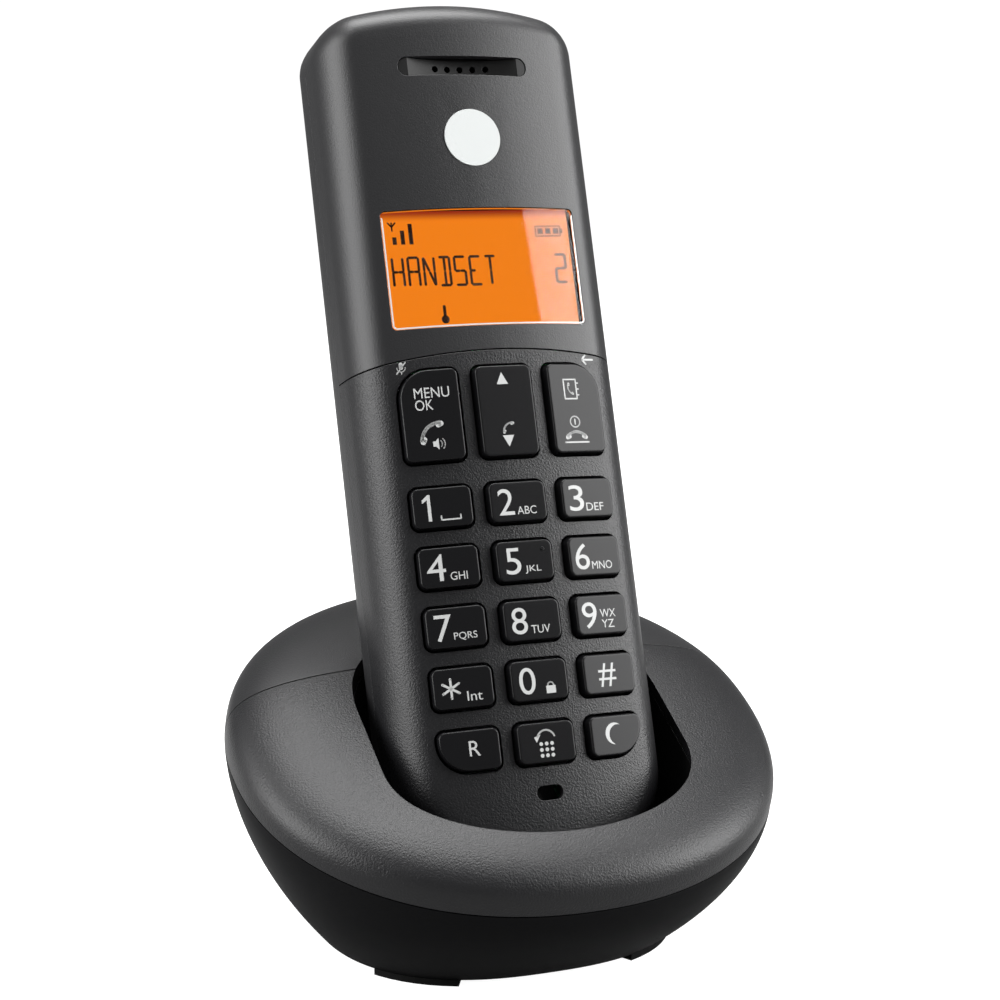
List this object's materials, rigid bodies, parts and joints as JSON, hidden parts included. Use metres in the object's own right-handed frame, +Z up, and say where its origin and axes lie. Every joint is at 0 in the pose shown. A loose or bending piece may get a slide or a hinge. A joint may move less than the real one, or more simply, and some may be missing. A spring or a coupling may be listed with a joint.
{
  "type": "cordless phone with base",
  "caption": "Cordless phone: slim crowned handset with keypad and orange screen, leaning back in an oval charging base.",
  "frame": {"origin": "on the surface the base stands on, under the middle of the whole object's footprint, in its left-right symmetry plane", "axes": "+Z up, -Y is the front that the keys face, +X to the right of someone facing the keys"},
  "size_m": [0.1024, 0.094, 0.171],
  "materials": {
    "smooth_black": "satin",
    "textured_black": "fine texture",
    "lower_black": "dull",
    "key_black": "satin with white printed legends",
    "inner_black": "matte",
    "foot_rubber": "matte",
    "badge_white": "gloss",
    "clear_lens": "gloss",
    "orange_screen": "backlit",
    "light_guide": "clear",
    "grey_rubber": "matte",
    "circuit_board": "satin",
    "tin_plate": "satin",
    "gold_contact": "satin",
    "cell_wrap": "printed sleeve",
    "speaker_grey": "matte"
  },
  "bodies": {
    "base": {"base_bottom_housing": "lower_black", "base_front_cover": "textured_black", "base_rear_cover": "smooth_black", "cradle_well": "inner_black", "base_feet": "foot_rubber", "base_pcb": "circuit_board", "base_shield_can": "tin_plate", "line_socket": "inner_black", "power_socket": "inner_black", "page_switch": "speaker_grey", "base_screws": "tin_plate"},
    "charge_contact_left": {"charge_contact_left": "gold_contact"},
    "charge_contact_right": {"charge_contact_right": "gold_contact"},
    "page_button": {"page_button": "key_black"},
    "handset": {"handset_upper_cover": "smooth_black", "handset_lower_cover": "textured_black", "handset_back_housing": "smooth_black", "badge_disc": "badge_white", "display_lens": "clear_lens", "lcd_panel": "orange_screen", "lcd_light_guide": "light_guide", "lcd_frame": "inner_black", "handset_pcb": "circuit_board", "handset_shield_can": "tin_plate", "keypad_membrane": "grey_rubber", "earpiece_grille": "inner_black", "earpiece_speaker": "speaker_grey", "ringer_speaker": "speaker_grey", "microphone": "speaker_grey", "battery_cell_a": "cell_wrap", "battery_cell_b": "cell_wrap", "battery_springs": "tin_plate", "battery_plates": "tin_plate", "handset_charge_pads": "gold_contact", "handset_screws": "tin_plate"},
    "battery_door": {"battery_door": "smooth_black"},
    "key_menu_talk": {"key_menu_talk": "key_black"},
    "key_up_down": {"key_up_down": "key_black"},
    "key_book_end": {"key_book_end": "key_black"},
    "key_1": {"key_1": "key_black"},
    "key_2": {"key_2": "key_black"},
    "key_3": {"key_3": "key_black"},
    "key_4": {"key_4": "key_black"},
    "key_5": {"key_5": "key_black"},
    "key_6": {"key_6": "key_black"},
    "key_7": {"key_7": "key_black"},
    "key_8": {"key_8": "key_black"},
    "key_9": {"key_9": "key_black"},
    "key_star": {"key_star": "key_black"},
    "key_0": {"key_0": "key_black"},
    "key_hash": {"key_hash": "key_black"},
    "key_recall": {"key_recall": "key_black"},
    "key_redial": {"key_redial": "key_black"},
    "key_night": {"key_night": "key_black"}
  },
  "joints": [
    {"name": "handset_lift", "type": "slide", "parent": "base", "child": "handset", "axis": [0, 0.342, 0.9397], "range_m": [0, 0.075]},
    {"name": "battery_door_slide", "type": "slide", "parent": "handset", "child": "battery_door", "axis": [0, -0.342, -0.9397], "range_m": [0, 0.006]},
    {"name": "page_button_press", "type": "slide", "parent": "base", "child": "page_button", "axis": [0, 0.1167, -0.9932], "range_m": [0, 0.0008], "stiffness_N_per_m": 1200, "springref_m": -0.0002},
    {"name": "charge_contact_left_press", "type": "slide", "parent": "base", "child": "charge_contact_left", "axis": [0, -0.342, -0.9397], "range_m": [0, 0.0008], "stiffness_N_per_m": 600, "springref_m": -0.0003},
    {"name": "charge_contact_right_press", "type": "slide", "parent": "base", "child": "charge_contact_right", "axis": [0, -0.342, -0.9397], "range_m": [0, 0.0008], "stiffness_N_per_m": 600, "springref_m": -0.0003},
    {"name": "key_menu_talk_rock", "type": "hinge", "parent": "handset", "child": "key_menu_talk", "pos_m": [-0.01331, 0.00125, 0.09737], "axis": [0.9866, -0.1531, 0.0557], "range_deg": [-3.5, 3.5], "stiffness_Nm_per_rad": 0.12},
    {"name": "key_up_down_rock", "type": "hinge", "parent": "handset", "child": "key_up_down", "pos_m": [0, -0.00071, 0.09808], "axis": [1, 0, 0], "range_deg": [-3.5, 3.5], "stiffness_Nm_per_rad": 0.12},
    {"name": "key_book_end_rock", "type": "hinge", "parent": "handset", "child": "key_book_end", "pos_m": [0.01331, 0.00125, 0.09737], "axis": [0.9866, 0.1531, -0.0557], "range_deg": [-3.5, 3.5], "stiffness_Nm_per_rad": 0.12},
    {"name": "key_1_press", "type": "slide", "parent": "handset", "child": "key_1", "axis": [0.1629, 0.9271, -0.3374], "range_m": [0, 0.0007], "stiffness_N_per_m": 1500, "springref_m": -0.0002},
    {"name": "key_2_press", "type": "slide", "parent": "handset", "child": "key_2", "axis": [0, 0.9397, -0.342], "range_m": [0, 0.0007], "stiffness_N_per_m": 1500, "springref_m": -0.0002},
    {"name": "key_3_press", "type": "slide", "parent": "handset", "child": "key_3", "axis": [-0.1629, 0.9271, -0.3374], "range_m": [0, 0.0007], "stiffness_N_per_m": 1500, "springref_m": -0.0002},
    {"name": "key_4_press", "type": "slide", "parent": "handset", "child": "key_4", "axis": [0.1629, 0.9271, -0.3374], "range_m": [0, 0.0007], "stiffness_N_per_m": 1500, "springref_m": -0.0002},
    {"name": "key_5_press", "type": "slide", "parent": "handset", "child": "key_5", "axis": [0, 0.9397, -0.342], "range_m": [0, 0.0007], "stiffness_N_per_m": 1500, "springref_m": -0.0002},
    {"name": "key_6_press", "type": "slide", "parent": "handset", "child": "key_6", "axis": [-0.1629, 0.9271, -0.3374], "range_m": [0, 0.0007], "stiffness_N_per_m": 1500, "springref_m": -0.0002},
    {"name": "key_7_press", "type": "slide", "parent": "handset", "child": "key_7", "axis": [0.1629, 0.9271, -0.3374], "range_m": [0, 0.0007], "stiffness_N_per_m": 1500, "springref_m": -0.0002},
    {"name": "key_8_press", "type": "slide", "parent": "handset", "child": "key_8", "axis": [0, 0.9397, -0.342], "range_m": [0, 0.0007], "stiffness_N_per_m": 1500, "springref_m": -0.0002},
    {"name": "key_9_press", "type": "slide", "parent": "handset", "child": "key_9", "axis": [-0.1629, 0.9271, -0.3374], "range_m": [0, 0.0007], "stiffness_N_per_m": 1500, "springref_m": -0.0002},
    {"name": "key_star_press", "type": "slide", "parent": "handset", "child": "key_star", "axis": [0.1629, 0.9271, -0.3374], "range_m": [0, 0.0007], "stiffness_N_per_m": 1500, "springref_m": -0.0002},
    {"name": "key_0_press", "type": "slide", "parent": "handset", "child": "key_0", "axis": [0, 0.9397, -0.342], "range_m": [0, 0.0007], "stiffness_N_per_m": 1500, "springref_m": -0.0002},
    {"name": "key_hash_press", "type": "slide", "parent": "handset", "child": "key_hash", "axis": [-0.1629, 0.9271, -0.3374], "range_m": [0, 0.0007], "stiffness_N_per_m": 1500, "springref_m": -0.0002},
    {"name": "key_recall_press", "type": "slide", "parent": "handset", "child": "key_recall", "axis": [0.1629, 0.9271, -0.3374], "range_m": [0, 0.0007], "stiffness_N_per_m": 1500, "springref_m": -0.0002},
    {"name": "key_redial_press", "type": "slide", "parent": "handset", "child": "key_redial", "axis": [0, 0.9397, -0.342], "range_m": [0, 0.0007], "stiffness_N_per_m": 1500, "springref_m": -0.0002},
    {"name": "key_night_press", "type": "slide", "parent": "handset", "child": "key_night", "axis": [-0.1629, 0.9271, -0.3374], "range_m": [0, 0.0007], "stiffness_N_per_m": 1500, "springref_m": -0.0002}
  ]
}
